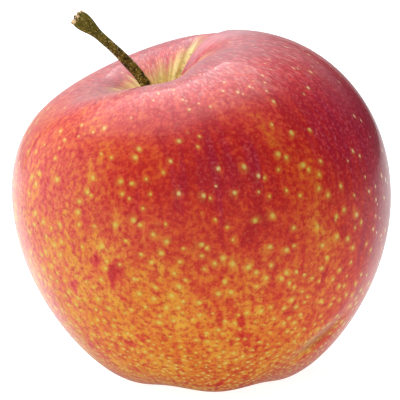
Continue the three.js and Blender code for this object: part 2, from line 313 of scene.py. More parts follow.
blush = BLUSH_AT_WAIST + BLUSH_CLIMB * np.clip(places - 1, *BLUSH_CLIMB_ENDS)
past_shoulder = degrees_past(degrees_round, SHOULDER_AT[0])
shoulder_reach = np.where(past_shoulder > 0, SHOULDER_FAR_REACH, SHOULDER_REACH)
shoulder = patch(degrees_round, places, SHOULDER_AT, (shoulder_reach, SHOULDER_HEIGHT))
blush = blush + SHOULDER_BLUSH * shoulder
from_band = degrees_past(degrees_round + BAND_SLANT * (places - BAND_LONGITUDE_PLACE), BAND_LONGITUDE)
band = np.exp(-((from_band / BAND_WIDTH) ** 2) - ((places - BAND_MIDDLE) / BAND_REACH) ** 4)
blush = blush + BAND_BLUSH * band
for strength, at, reach in BLUSH_PATCHES:
    blush = blush + strength * patch(degrees_round, places, at, reach)
mark(fruit, "blush", blush, (POLE_BLUSH, POLE_BLUSH))

# Where the red is pinker, on the left-hand side: a painted sheen, which stands in for the pale mirror
# image of the lamp at the left.
PAINTED_SHEEN_LEFT, PAINTED_SHEEN_LEFT_AT, PAINTED_SHEEN_LEFT_REACH = 0.9, (206, 0.75), (30, 0.7)
mark(fruit, "painted_sheen_left", PAINTED_SHEEN_LEFT * patch(degrees_round, places, PAINTED_SHEEN_LEFT_AT, PAINTED_SHEEN_LEFT_REACH), (0.0, 0.0))

# Where the hollow's wall stays yellow-green: round the stem, in a tongue beside the fold and, thinly,
# on the far side of the stem. The lobe's flank at the fold counts below nothing, and there a grey-pink
# painted sheen goes on the skin.
HOLLOW_START, HOLLOW_SPAN, HOLLOW_MOST = 2.14, 0.36, 1.3
FAR_SIDE, FAR_SIDE_AT, FAR_SIDE_REACH = 0.65, (195, 2.25), (30, 0.25)
TONGUE_AT, TONGUE_REACH, TONGUE_EDGE = (66, 2.32), (12, 0.28), (-1.5, 1.0)
LOBE_FLANK_NEAR, LOBE_FLANK_FAR = (-1.0, -5.0), (-60, -25)
LOBE_FLANK_TOP, LOBE_FLANK_BOTTOM = (1.93, 2.03), (2.62, 2.42)
from_fold = degrees_past(degrees_round, np.degrees(FOLD_LONGITUDE))
hollow_ground = np.clip((places - HOLLOW_START) / HOLLOW_SPAN, 0, HOLLOW_MOST)
hollow_ground = hollow_ground + FAR_SIDE * patch(degrees_round, places, FAR_SIDE_AT, FAR_SIDE_REACH)
tongue = patch(degrees_round, places, TONGUE_AT, TONGUE_REACH)
hollow_ground = hollow_ground + tongue * smooth_step(from_fold, *TONGUE_EDGE)
lobe_flank = smooth_step(from_fold, *LOBE_FLANK_NEAR) * smooth_step(from_fold, *LOBE_FLANK_FAR)
lobe_flank = lobe_flank * smooth_step(places, *LOBE_FLANK_TOP) * smooth_step(places, *LOBE_FLANK_BOTTOM)
hollow_ground = hollow_ground * (1 - lobe_flank) - lobe_flank
mark(fruit, "hollow_ground", hollow_ground, (0.0, HOLLOW_MOST))


def paint(shade):
    """A colour written as six hex digits, made linear by the standard screen curve for a shader."""
    parts = np.array([int(shade[i : i + 2], 16) / 255 for i in (0, 2, 4)])
    linear = np.where(parts <= 0.04045, parts / 12.92, ((parts + 0.055) / 1.055) ** 2.4)
    return (*linear.tolist(), 1.0)


def put(tree, kind, values=None, **settings):
    """Places a shader node, with its settings, plain values and the sockets that feed it."""
    node = tree.nodes.new("ShaderNode" + kind)
    for key, value in settings.items():
        setattr(node, key, value)
    for key, value in (values or {}).items():
        if isinstance(value, bpy.types.NodeSocket):
            tree.links.new(value, node.inputs[key])
        else:
            node.inputs[key].default_value = value
    return node


def sums(tree, operation, first, second):
    """One step of arithmetic on two values."""
    return put(tree, "Math", {0: first, 1: second}, operation=operation).outputs[0]


def times(tree, first, second):
    """Two values multiplied."""
    return sums(tree, "MULTIPLY", first, second)


def added(tree, base, value, factor):
    """A value times a factor, added to a base."""
    return put(tree, "Math", {0: value, 1: factor, 2: base}, operation="MULTIPLY_ADD").outputs[0]


def rise(tree, value, low, high, bottom=0.0, top=1.0):
    """A smooth step from bottom to top as a value passes from low to high."""
    limits = {"Value": value, "From Min": low, "From Max": high, "To Min": bottom, "To Max": top}
    return put(tree, "MapRange", limits, interpolation_type="SMOOTHSTEP").outputs[0]


def blend(tree, share, under, over):
    """Two colours mixed, each a socket or six hex digits: all under at a share of 0, all over at 1."""
    under, over = (paint(shade) if isinstance(shade, str) else shade for shade in (under, over))
    return put(tree, "Mix", {0: share, 6: under, 7: over}, data_type="RGBA").outputs[2]


def noise(tree, vector, scale, detail=2.0, roughness=0.5, distortion=0.0):
    """A cloudy pattern from 0 to 1, its scale in turns per millimetre."""
    values = {"Vector": vector, "Scale": scale, "Detail": detail, "Roughness": roughness}
    return put(tree, "TexNoise", {**values, "Distortion": distortion}).outputs[0]


def drawn_out(tree, vector, share):
    """Growth squeezed to a share of its height, so that a pattern on it is drawn out along a meridian."""
    return put(tree, "Mapping", {"Vector": vector, "Scale": (1.0, 1.0, share)}).outputs[0]


def marked(tree, name):
    """A value that a piece keeps for each of its points."""
    return put(tree, "Attribute", attribute_name=name).outputs["Fac"]


def fleck_group():
    """Flecks of a size, in millimetres: a noise that passes softly from none to full at a level."""
    group = bpy.data.node_groups.new("flecks", "ShaderNodeTree")
    plan = group.interface
    plan.new_socket("Vector", in_out="INPUT", socket_type="NodeSocketVector")
    for name in ("Size", "Level", "Softness"):
        plan.new_socket(name, in_out="INPUT", socket_type="NodeSocketFloat")
    plan.new_socket("Flecks", in_out="OUTPUT", socket_type="NodeSocketFloat")
    given = group.nodes.new("NodeGroupInput").outputs
    result = group.nodes.new("NodeGroupOutput")
    clouding = noise(group, given["Vector"], sums(group, "DIVIDE", 1.0, given["Size"]))
    low = sums(group, "SUBTRACT", given["Level"], given["Softness"])
    high = sums(group, "ADD", given["Level"], given["Softness"])
    group.links.new(rise(group, clouding, low, high), result.inputs["Flecks"])
    return group


flecks = fleck_group()


def fleck_mask(tree, vector, size, level, softness):
    """The shared flecks, placed in a material with its own size, level and softness."""
    values = {"Vector": vector, "Size": size, "Level": level, "Softness": softness}
    return put(tree, "Group", values, node_tree=flecks).outputs["Flecks"]


def new_material(name):
    """A node material, its tree, its Principled shader and its place on the piece in millimetres."""
    material = bpy.data.materials.new(name)
    material.use_nodes = True
    tree = material.node_tree
    shader = tree.nodes["Principled BSDF"]
    coordinates = put(tree, "TexCoord").outputs["Object"]
    scaled = put(tree, "VectorMath", {0: coordinates, "Scale": 1 / MM}, operation="SCALE").outputs[0]
    return material, tree, shader, scaled


RELIEF = 0.2  # how high a height of 1 stands in a rough surface


def roughen(tree, shader, height, strength):
    """A shader's surface made uneven by a height, which counts in steps of the relief."""
    bump = put(tree, "Bump", {"Height": height, "Strength": strength, "Distance": RELIEF * MM})
    tree.links.new(bump.outputs[0], shader.inputs["Normal"])


# Paints of the skin.
GROUND_OCHRE, GROUND_STRAW = "cc8620", "d09c30"
WASH_ORANGE, WASH_PINK, WASH_CRIMSON = "c44016", "d04a50", "b82440"
FLECK_RED, FLECK_PINK, FLECK_CRIMSON = "ba241c", "c03048", "aa1a38"
DEEP_RED, DEEP_CRIMSON = "9e0c18", "8c0e28"
GRAIN_ORANGE, GRAIN_PINK = "e07440", "d8667c"
PALE_DASH_AND_SHEEN_PINK, RIM_PAINTED_SHADE_GREY = "e2aca2", "7c5864"
HALO_YELLOW, DOT_YELLOW, DOT_CREAM, DOT_STRAW = "c08a2c", "c4b450", "ecdcb0", "dccb80"
CREASE_PAINTED_SHADE, BASIN_TAN = "8c5e16", "b98f3e"
HOLLOW_GREEN, HOLLOW_CREAM, HOLLOW_STIPPLE, LOBE_FLANK_PAINTED_SHEEN = "bea64a", "e8d88e", "7a6a26", "c08a94"

# Dots: how many to a millimetre, the turn, stretch and shake of the grid they lie on, the sizes of the
# smallest and the largest, and of all on plainer skin, the reach of a core and of a halo, and the share
# that is left out low down and high up.
DOTS_PER_MM, DOT_TURN, DOT_STRETCH, DOT_SHAKE = 0.37, 0.5, 1.3, 1.6
SMALL_DOT, LARGE_DOT, PLAIN_DOT = 0.6, 1.2, 0.65
DOT_CORE, DOT_HALO = 0.25, 0.65
LEFT_OUT_LOW, LEFT_OUT_HIGH = 0.12, 0.80

# Red: how far each pattern swings its amount, and how much less or more there is in a halo or a blotch.
STREAK_SWING, CLOUD_SWING, SPOT_SWING = 0.55, 0.45, 0.32
HALO_RED, BLOTCH_RED = -0.16, 0.45

# Wax: its roughness, and a thin clear coat that shows most where the skin turns away at its edges.
WAX_ROUGHNESS_LEAST, WAX_ROUGHNESS_MOST = 0.34, 0.40
SKIN_IOR = 1.28
COAT_MIDDLE, COAT_EDGE, COAT_ROUGHNESS = 0.06, 0.55, 0.05
COAT_TURN = (0.55, 0.72)


def skin_material():
    """Waxy skin: red flecks and streaks over a yellow ground, with pale dots in yellow halos.

    The amount of red is the blush plus several patterns. As it grows, a wash of red comes over the
    ground, then flecks, then deeper flecks.
    """
    material, tree, shader, spot = new_material("apple_skin")
    growth_at = put(tree, "Attribute", attribute_name="growth").outputs["Vector"]
    blush_at, place_at, painted_sheen_left_at = (marked(tree, name) for name in ("blush", "place", "painted_sheen_left"))
    crease_at, hollow_at = marked(tree, "crease"), marked(tree, "hollow_ground")
    unwrapped = put(tree, "UVMap", uv_map="UVMap").outputs[0]

    # Streaks run along the meridians. Clouds, spots and cells lie any way.
    streaks = noise(tree, drawn_out(tree, growth_at, 0.13), 0.45, detail=3.0, roughness=0.55)
    clouds = noise(tree, spot, 0.15)
    spots = noise(tree, spot, 0.4)
    cells = noise(tree, spot, 0.95, detail=3.0, roughness=0.62)

    # Where the red turns crimson, or cooler: most blushed, high up, and on the left-hand side, where the
    # cooler red is painted sheen.
    sunned = added(tree, -0.4, streaks, 0.8)
    crimson = rise(tree, sums(tree, "ADD", blush_at, sunned), 0.88, 1.24)
    high_up = rise(tree, place_at, 1.2, 1.95)
    cool = sums(tree, "MAXIMUM", high_up, painted_sheen_left_at)
    crimson_and_painted_sheen = sums(tree, "MAXIMUM", crimson, painted_sheen_left_at)

    # Pale dots with soft halos, plainer where the skin is crimson or high up. None lies on the seam.
    plain = sums(tree, "MAXIMUM", high_up, crimson)
    round_about, growth_length = 2 * math.pi * WAIST_RADIUS, float(grown[-1])
    dot_place = {
        "Vector": unwrapped,
        "Rotation": (0.0, 0.0, DOT_TURN),
        "Scale": (round_about, DOT_STRETCH * growth_length, 1.0),
    }
    dot_map = put(tree, "Mapping", dot_place).outputs[0]
    shaken = put(tree, "TexNoise", {"Vector": spot, "Scale": 0.12, "Detail": 0.0}).outputs["Color"]
    shaken = put(tree, "VectorMath", {0: shaken, "Scale": DOT_SHAKE}, operation="SCALE").outputs[0]
    dot_map = put(tree, "VectorMath", {0: dot_map, 1: shaken}, operation="ADD").outputs[0]
    dot_values = {"Vector": dot_map, "Scale": DOTS_PER_MM, "Randomness": 1.0}
    dot = put(tree, "TexVoronoi", dot_values, voronoi_dimensions="2D")
    next_dot = put(tree, "TexVoronoi", dot_values, voronoi_dimensions="2D", feature="F2")
    apart = sums(tree, "SUBTRACT", next_dot.outputs["Distance"], dot.outputs["Distance"])
    chance = put(tree, "SeparateColor", {0: dot.outputs["Color"]})
    shrunk = rise(tree, plain, 0.0, 1.0, 1.0, PLAIN_DOT)
    dot_size = times(tree, rise(tree, chance.outputs[0], 0.0, 1.0, SMALL_DOT, LARGE_DOT), shrunk)
    reach = sums(tree, "DIVIDE", dot.outputs["Distance"], dot_size)
    left_out = rise(tree, place_at, 0.2, 1.6, LEFT_OUT_LOW, LEFT_OUT_HIGH)
    present = rise(tree, sums(tree, "SUBTRACT", chance.outputs[1], left_out), -0.02, 0.02)
    from_seam = sums(tree, "PINGPONG", put(tree, "SeparateXYZ", {0: unwrapped}).outputs[0], 0.5)
    present = times(tree, present, rise(tree, from_seam, 0.0015, 0.006))
    core = times(tree, rise(tree, reach, 0.0, DOT_CORE, 1.0, 0.0), present)
    halo = times(tree, rise(tree, reach, 0.05, DOT_HALO, 1.0, 0.0), present)
    halo = times(tree, halo, rise(tree, apart, 0.0, 0.3))

    # How much red there is: the blush, broken by the patterns, thinner in a halo and more in a blotch.
    amount = blush_at
    for pattern, swing in ((streaks, STREAK_SWING), (clouds, CLOUD_SWING), (spots, SPOT_SWING)):
        amount = sums(tree, "ADD", amount, added(tree, -swing / 2, pattern, swing))
    amount = added(tree, amount, halo, HALO_RED)
    blotch = fleck_mask(tree, drawn_out(tree, growth_at, 0.6), size=5.0, level=0.66, softness=0.07)
    amount = added(tree, amount, blotch, BLOTCH_RED)
    wash = rise(tree, amount, 0.20, 0.95)
    fleck = rise(tree, sums(tree, "SUBTRACT", cells, added(tree, 0.69, amount, -0.36)), -0.15, 0.15)
    deep = rise(tree, sums(tree, "SUBTRACT", cells, added(tree, 1.06, amount, -0.60)), -0.18, 0.18)

    # The ground, and the wash, flecks, deep flecks and pricks of red over it.
    mottle = fleck_mask(tree, spot, size=5.0, level=0.5, softness=0.2)
    colour = blend(tree, mottle, GROUND_OCHRE, GROUND_STRAW)
    # On the left-hand side the pinker wash and flecks are painted sheen.
    wash_red = blend(tree, crimson, blend(tree, cool, WASH_ORANGE, WASH_PINK), WASH_CRIMSON)
    colour = blend(tree, wash, colour, wash_red)
    fleck_red = blend(tree, crimson, blend(tree, cool, FLECK_RED, FLECK_PINK), FLECK_CRIMSON)
    colour = blend(tree, times(tree, fleck, 0.85), colour, fleck_red)
    deep_red = blend(tree, crimson, DEEP_RED, DEEP_CRIMSON)
    colour = blend(tree, times(tree, deep, 0.8), colour, deep_red)
    pricks = fleck_mask(tree, spot, size=0.9, level=0.60, softness=0.08)
    pricks = times(tree, pricks, rise(tree, wash, 0.2, 1.0, 0.5, 0.3))
    colour = blend(tree, pricks, colour, deep_red)

    # A fine pale grain all over, pale dashes towards the rim, and at the rim a painted grey shade and
    # sheen.
    grain = noise(tree, spot, 1.6)
    # On the left-hand side the pink grain is painted sheen; where the skin is crimson it is the skin's
    # own.
    grain_share = rise(tree, grain, 0.45, 0.75, 0.0, rise(tree, crimson_and_painted_sheen, 0.0, 1.0, 0.24, 0.36))
    colour = blend(tree, grain_share, colour, blend(tree, crimson_and_painted_sheen, GRAIN_ORANGE, GRAIN_PINK))
    # The pale pink dashes are partly pale streaks of the skin and partly a painted streaky sheen.
    pale_dashes_and_sheen = fleck_mask(tree, drawn_out(tree, growth_at, 0.75), size=0.9, level=0.58, softness=0.10)
    pale_dashes_and_sheen = times(tree, pale_dashes_and_sheen, rise(tree, place_at, 1.45, 1.9, 0.0, 0.4))
    colour = blend(tree, pale_dashes_and_sheen, colour, PALE_DASH_AND_SHEEN_PINK)
    # Painted shade and sheen: high on the rim the skin is greyed and darkened, where its top gets little
    # light and mirrors grey.
    rim_painted_shade = times(tree, rise(tree, place_at, 1.65, 2.05, 0.0, 0.75), cells)
    rim_painted_shade = times(tree, rim_painted_shade, rise(tree, place_at, 2.30, 2.08, 0.3, 1.0))
    colour = blend(tree, rim_painted_shade, colour, RIM_PAINTED_SHADE_GREY)

    # The dots in their halos, and the crease, darkened brown as a painted shade in its furrow.
    halo_share = times(tree, halo, rise(tree, plain, 0.0, 1.0, 0.34, 0.06))
    colour = blend(tree, halo_share, colour, HALO_YELLOW)
    dot_shade = blend(tree, plain, DOT_YELLOW, DOT_CREAM)
    dot_shade = blend(tree, rise(tree, place_at, 0.6, 0.2), dot_shade, DOT_STRAW)
    core_share = times(tree, core, rise(tree, high_up, 0.0, 1.0, 0.85, 0.6))
    colour = blend(tree, core_share, colour, dot_shade)
    # Painted shade: the middle of the crease is darkened with brown.
    colour = blend(tree, rise(tree, crease_at, 0.2, 1.0, 0.0, 0.5), colour, CREASE_PAINTED_SHADE)

    # The hollow's wall turns yellow-green towards the stem in radiating streaks, the basin tan.
    rays = noise(tree, drawn_out(tree, growth_at, 0.08), 0.16, detail=4.0, roughness=0.6, distortion=0.4)
    inside = rise(tree, place_at, 1.95, 2.25, 0.0, 1.5)
    ragged = times(tree, inside, sums(tree, "SUBTRACT", rays, 0.5))
    yellow = rise(tree, sums(tree, "ADD", hollow_at, ragged), 0.15, 0.95)
    greens = blend(tree, rise(tree, rays, 0.4, 0.62), HOLLOW_GREEN, HOLLOW_CREAM)
    stipple = fleck_mask(tree, spot, size=0.7, level=0.56, softness=0.10)
    stipple = times(tree, stipple, rise(tree, hollow_at, 0.5, 1.0, 0.0, 0.5))
    greens = blend(tree, stipple, greens, HOLLOW_STIPPLE)
    # A painted sheen: the lobe's flank at the fold is painted grey-pink.
    colour = blend(tree, rise(tree, hollow_at, -0.1, -0.9, 0.0, 0.45), colour, LOBE_FLANK_PAINTED_SHEEN)
    colour = blend(tree, times(tree, yellow, 0.88), colour, greens)
    colour = blend(tree, rise(tree, place_at, 0.05, -0.7, 0.0, 0.8), colour, BASIN_TAN)
    tree.links.new(colour, shader.inputs["Base Color"])

    # The wax, uneven over the dots and cells, and its coat.
    wax = fleck_mask(tree, spot, size=9.0, level=0.5, softness=0.25)
    roughness = rise(tree, wax, 0.0, 1.0, WAX_ROUGHNESS_LEAST, WAX_ROUGHNESS_MOST)
    tree.links.new(roughness, shader.inputs["Roughness"])
    roughen(tree, shader, sums(tree, "ADD", times(tree, core, 0.6), cells), 0.12)
    facing = put(tree, "LayerWeight", {"Blend": 0.5}).outputs["Facing"]
    coat = rise(tree, facing, *COAT_TURN, COAT_MIDDLE, COAT_EDGE)
    tree.links.new(coat, shader.inputs["Coat Weight"])
    shader.inputs["Coat Roughness"].default_value = COAT_ROUGHNESS
    shader.inputs["IOR"].default_value = SKIN_IOR
    return material


fruit.data.materials.append(skin_material())
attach(fruit, "root")
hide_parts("fruit")

# The stem: a woody stalk that stands in the hollow and leans out over the low side of the rim. It is
# stout at the foot, slim at the neck and swollen at the knob, where it broke from the twig.
STEM_FOOT_HANDLE = np.array([-7.75, 0.6, 57.0])
STEM_TIP_HANDLE = np.array([-11.05, 0.6, 62.15])
STEM_TIP = np.array([-25.1, 0.6, 73.4])
STEM_NECK_RADIUS = 0.98
STEM_KNOB_RADIUS = 1.72
STEM_KNOB_START, STEM_KNOB_FULL = 0.88, 0.975
STEM_KNOB_TAPER = 0.08
STEM_COLUMNS, STEM_ROWS = 96, 260
BARK_WAVES = ((0.035, 5, 9), (0.02, 11, -23), (0.02, 3, 41))  # depth, waves round, turn along the stem
KNOT_DEPTH, KNOT_SIDES, KNOT_START, KNOT_WAVES = 0.05, 2, 1.0, 17
KNOB_CORNER_DEPTH, KNOB_CORNERS, KNOB_CORNER_START = 0.05, 3, 0.6
TEAR_WAVES = ((0.30, 2, 0.4), (0.22, 5, 1.0), (0.12, 9, 0.0))  # height, waves round, start
TEAR_START = STEM_KNOB_FULL - 0.02
BROKEN_RINGS = ((0.9, -0.06), (0.75, 0.12), (0.5, 0.34), (0.25, 0.46))  # share of the radius, depth
BROKEN_SHARES, BROKEN_MIDDLE_SHARE = (1.1, 1.2, 1.3, 1.4), 1.5
BROKEN_DENT = 0.5


def stem_rings():
    """Round sections along a cubic curve, their radius waved round and along for bark and knots.

    Towards the broken end the sections are shifted along by the waves of the tear. The end is closed
    by narrower rings, which sink in towards the middle.
    """
    share = np.linspace(0, 1, STEM_ROWS + 1)
    ends = [point[None] for point in (STEM_FOOT, STEM_FOOT_HANDLE, STEM_TIP_HANDLE, STEM_TIP)]
    path = np.concatenate([STEM_FOOT[None], cubic(*ends, STEM_ROWS)[:, 0]])
    along = np.gradient(path, axis=0)
    along /= np.linalg.norm(along, axis=-1, keepdims=True)
    side = np.array([0.0, 1.0, 0.0])
    thick = np.cross(along, side)
    turn = np.linspace(0, 2 * np.pi, STEM_COLUMNS, endpoint=False)
    swell = smooth_step(share, STEM_KNOB_START, STEM_KNOB_FULL)
    radius = STEM_NECK_RADIUS + (STEM_FOOT_RADIUS - STEM_NECK_RADIUS) * (1 - share) ** 2
    radius = radius + (STEM_KNOB_RADIUS - STEM_NECK_RADIUS) * swell
    radius = radius - STEM_KNOB_TAPER * smooth_step(share, STEM_KNOB_FULL, 1.0)
    s, t = np.meshgrid(share, turn, indexing="ij")
    bark = sum(depth * np.sin(waves * t + twist * s) for depth, waves, twist in BARK_WAVES)
    knots = KNOT_DEPTH * np.sin(KNOT_SIDES * t + KNOT_START) * np.sin(KNOT_WAVES * s)
    knots = knots + KNOB_CORNER_DEPTH * swell[:, None] * np.sin(KNOB_CORNERS * t + KNOB_CORNER_START)
    size = radius[:, None] * (1 + bark + knots)
    section = np.cos(t)[..., None] * side + np.sin(t)[..., None] * thick[:, None]
    tear = sum(height * np.sin(waves * turn + start) for height, waves, start in TEAR_WAVES)
    torn = smooth_step(share, TEAR_START, 1.0)[:, None] * tear
    rings = path[:, None] + size[..., None] * section + torn[..., None] * along[:, None]
    part, sunk = np.array(BROKEN_RINGS).T[:, :, None]
    broken = path[-1] + part[..., None] * size[-1][:, None] * section[-1]
    broken = broken + (part * tear - sunk)[..., None] * along[-1]
    return np.concatenate([rings, broken]), path[0], path[-1] - BROKEN_DENT * along[-1]


stem_sections, stem_start, stem_end = stem_rings()
shares = np.concatenate([np.linspace(0, 1, STEM_ROWS + 1), BROKEN_SHARES])
stem = closed_piece("apple_stem", [(stem_sections, stem_start, stem_end, shares / shares[-1])])
shares_round = np.broadcast_to(shares[:, None], stem_sections.shape[:2])
mark(stem, "share", shares_round, (0.0, BROKEN_MIDDLE_SHARE))

BARK_GROOVE, BARK_OLIVE, BARK_FLECK, KNOB_GREEN = "1e1402", "74621a", "c4b070", "5c5c18"
WOOD_DARK, WOOD_TAN = "3a2412", "dcbc8c"
BARK_ROUGHNESS, BARK_SHINE = 0.62, 0.15


def stem_material():
    """Olive-brown bark with darker grooves and pale flecks, and tan wood at the broken end."""
    material, tree, shader, spot = new_material("stem_bark")
    share_at = marked(tree, "share")
    bark = noise(tree, spot, 0.9, detail=5.0, roughness=0.7)
    colour = blend(tree, rise(tree, bark, 0.35, 0.65), BARK_GROOVE, BARK_OLIVE)
    pale = fleck_mask(tree, spot, size=0.4, level=0.60, softness=0.06)
    colour = blend(tree, times(tree, pale, 0.7), colour, BARK_FLECK)
    colour = blend(tree, rise(tree, share_at, 0.75, 0.93, 0.0, 0.45), colour, KNOB_GREEN)
    crumbs = noise(tree, spot, 2.0, detail=3.0)
    broken = rise(tree, added(tree, share_at, crumbs, 0.03), 1.004, 1.012)
    wood = blend(tree, rise(tree, crumbs, 0.44, 0.56), WOOD_DARK, WOOD_TAN)
    colour = blend(tree, broken, colour, wood)
    tree.links.new(colour, shader.inputs["Base Color"])
    shader.inputs["Roughness"].default_value = BARK_ROUGHNESS
    shader.inputs["Specular IOR Level"].default_value = BARK_SHINE
    roughen(tree, shader, bark, 0.5)
    return material


stem.data.materials.append(stem_material())
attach(stem, "root")
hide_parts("stem")

# The calyx: what is left of the flower, dried brown in the basin underneath. Five narrow sepals and a
# tuft of shrivelled stamens hang from a button, which sits in the seat at the basin's deepest spot.
BUTTON_RADIUS = SEAT_RADIUS - GAP
BUTTON_EDGE_HEIGHT = 8.2
BUTTON_TOP_HEIGHT = SEAT_MOUTH_HEIGHT + SEAT_DEPTH - GAP
BUTTON_MIDDLE_HEIGHT = 7.3
BUTTON_BEVEL = 0.2
BUTTON_COLUMNS, BUTTON_ROWS = 64, 12
RUFFLES, RUFFLE_HEIGHT, RUFFLE_RADIUS = 9, 0.08, 2
SEPAL_ROOT, SEPAL_MIDDLE, SEPAL_TIP = (2.1, 8.6), (1.7, 5.2), (3.7, 3.9)  # way out and height
SEPAL_HALF_WIDTH = 1.1
SEPAL_HALF_THICKNESS = 0.26
SEPAL_WANDER, SEPAL_WANDER_PACE, SEPAL_WANDER_START = 0.35, 2.4, 0.7
SEPAL_SWAY, SEPAL_SWAY_PACE, SEPAL_SWAY_START = 0.5, 1.7, 1.0
SEPAL_CURL = 0.35
SEPAL_TAPER, SEPAL_BLUNT = 0.55, 0.01
SEPAL_ROWS, SEPAL_COLUMNS = 28, 20
STAMENS = 12
STAMEN_RADIUS = 0.13
STAMEN_HEAD_RADIUS, STAMEN_HEAD_AT, STAMEN_HEAD_REACH = 0.26, 0.9, 0.09
STAMEN_ROOT = 0.5  # how deep a stamen starts in the button
STAMEN_LENGTH, STAMEN_UNEVEN, STAMEN_UNEVEN_PACE = 1.7, 0.5, 5.1
TUFT_MIDDLE, TUFT_SPREAD = 0.35, 1.1
STAMEN_FOOT_SHARE, STAMEN_SPLAY = 0.6, 0.5
STAMEN_ROWS, STAMEN_COLUMNS = 16, 8
GOLDEN_TURN = math.pi * (3 - math.sqrt(5))


def strand(path, across, half_width, half_thickness, columns, curl=0.0):
    """A shell of oval sections along a path, curled by the square of the way out to their edges."""
    along = np.gradient(path, axis=0)
    along /= np.linalg.norm(along, axis=-1, keepdims=True)
    through = np.cross(along, across)
    turn = np.linspace(0, 2 * np.pi, columns, endpoint=False)
    wide = half_width[:, None] * np.cos(turn)
    deep = half_thickness[:, None] * np.sin(turn) + curl * wide**2
    rings = path[:, None] + wide[..., None] * across + deep[..., None] * through[:, None]
    return rings, path[0], path[-1], np.linspace(0, 1, len(path))


def button_shell():
    """A turned button: flat on top, bevelled, and underneath a quarter of an oval with sine ruffles."""
    turn = np.linspace(0, 2 * np.pi, BUTTON_COLUMNS, endpoint=False)
    dome = np.linspace(0, np.pi / 2, BUTTON_ROWS)[1:]
    drop = BUTTON_EDGE_HEIGHT - BUTTON_MIDDLE_HEIGHT
    radius = np.append(BUTTON_RADIUS * np.sin(dome), [BUTTON_RADIUS, BUTTON_RADIUS - BUTTON_BEVEL])
    top_edge = [BUTTON_TOP_HEIGHT - BUTTON_BEVEL, BUTTON_TOP_HEIGHT]
    height = np.append(BUTTON_EDGE_HEIGHT - drop * np.cos(dome), top_edge)[:, None]
    ruffle_share = np.minimum(radius, RUFFLE_RADIUS)[:, None] / RUFFLE_RADIUS
    ruffle_share[-2:] = 0.0
    east = BASE_CENTRE[0] + radius[:, None] * np.cos(turn)
    north = BASE_CENTRE[1] + radius[:, None] * np.sin(turn)
    rings = np.stack([east, north, height + RUFFLE_HEIGHT * np.sin(RUFFLES * turn) * ruffle_share], -1)
    low, high = [*BASE_CENTRE, BUTTON_MIDDLE_HEIGHT], [*BASE_CENTRE, BUTTON_TOP_HEIGHT]
    return rings, low, high, np.linspace(0, 1, len(rings))


def directions(turn):
    """The level directions out along a turn and sideways to it."""
    outward = np.array([math.cos(turn), math.sin(turn), 0.0])
    sideways = np.array([-math.sin(turn), math.cos(turn), 0.0])
    return outward, sideways


def sepal_shell(number):
    """A pointed leaf along a quadratic curve, down and out, straying by sines of its number."""
    outward, sideways = directions(BASE_LOBE_LONGITUDE + number * 2 * math.pi / LOBES)
    t = np.linspace(0, 1, SEPAL_ROWS)[:, None]
    wander = SEPAL_WANDER * math.sin(SEPAL_WANDER_PACE * number + SEPAL_WANDER_START)
    tip = np.array(SEPAL_TIP) + [wander, -wander / 2]
    bent = (1 - t) ** 2 * SEPAL_ROOT + 2 * t * (1 - t) * SEPAL_MIDDLE + t * t * tip
    sway = SEPAL_SWAY * math.sin(SEPAL_SWAY_PACE * number + SEPAL_SWAY_START) * t**2
    middle = np.array([*BASE_CENTRE, 0.0])
    path = middle + bent[:, :1] * outward + sway * sideways + bent[:, 1:] * [0, 0, 1]
    narrow = np.sqrt(np.clip(1 - t[:, 0] ** 3, SEPAL_BLUNT, 1)) * (1 - SEPAL_TAPER * t[:, 0])
    width, thickness = SEPAL_HALF_WIDTH * narrow, SEPAL_HALF_THICKNESS * narrow
    return strand(path, sideways, width, thickness, SEPAL_COLUMNS, SEPAL_CURL)


def stamen_shell(number):
    """A thread that hangs down, splays by the square of the way and ends in a bell-shaped head.

    The threads of the tuft follow each other by golden turns.
    """
    outward, sideways = directions(number * GOLDEN_TURN)
    spread = TUFT_MIDDLE + TUFT_SPREAD * math.sqrt(number / STAMENS)
    length = STAMEN_LENGTH + STAMEN_UNEVEN * math.sin(STAMEN_UNEVEN_PACE * number)
    t = np.linspace(0, 1, STAMEN_ROWS)[:, None]
    root = np.array([*BASE_CENTRE, BUTTON_MIDDLE_HEIGHT + STAMEN_ROOT])
    path = root - t * length * np.array([0, 0, 1])
    path = path + (STAMEN_FOOT_SHARE + STAMEN_SPLAY * t**2) * spread * outward
    head = np.exp(-(((t[:, 0] - STAMEN_HEAD_AT) / STAMEN_HEAD_REACH) ** 2))
    radius = STAMEN_RADIUS + (STAMEN_HEAD_RADIUS - STAMEN_RADIUS) * head
    return strand(path, sideways, radius, radius, STAMEN_COLUMNS)


calyx_shells = [button_shell()]
calyx_shells += [sepal_shell(number) for number in range(LOBES)]
calyx_shells += [stamen_shell(number) for number in range(STAMENS)]
calyx = closed_piece("apple_calyx", calyx_shells)

LEAF_DARK, LEAF_BROWN, LEAF_DUST = "3a2b1a", "7d6440", "a3946e"
LEAF_ROUGHNESS = 0.95


def calyx_material():
    """Dried brown leaf with greyer, dusty flecks and darker folds."""
    material, tree, shader, spot = new_material("dried_flower")
    folds = noise(tree, spot, 1.1, detail=4.0, roughness=0.7)
    colour = blend(tree, rise(tree, folds, 0.35, 0.65), LEAF_DARK, LEAF_BROWN)
    dust = fleck_mask(tree, spot, size=0.3, level=0.58, softness=0.10)
    colour = blend(tree, times(tree, dust, 0.45), colour, LEAF_DUST)
    tree.links.new(colour, shader.inputs["Base Color"])
    shader.inputs["Roughness"].default_value = LEAF_ROUGHNESS
    roughen(tree, shader, folds, 0.6)
    return material


calyx.data.materials.append(calyx_material())
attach(calyx, "root")
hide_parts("calyx")

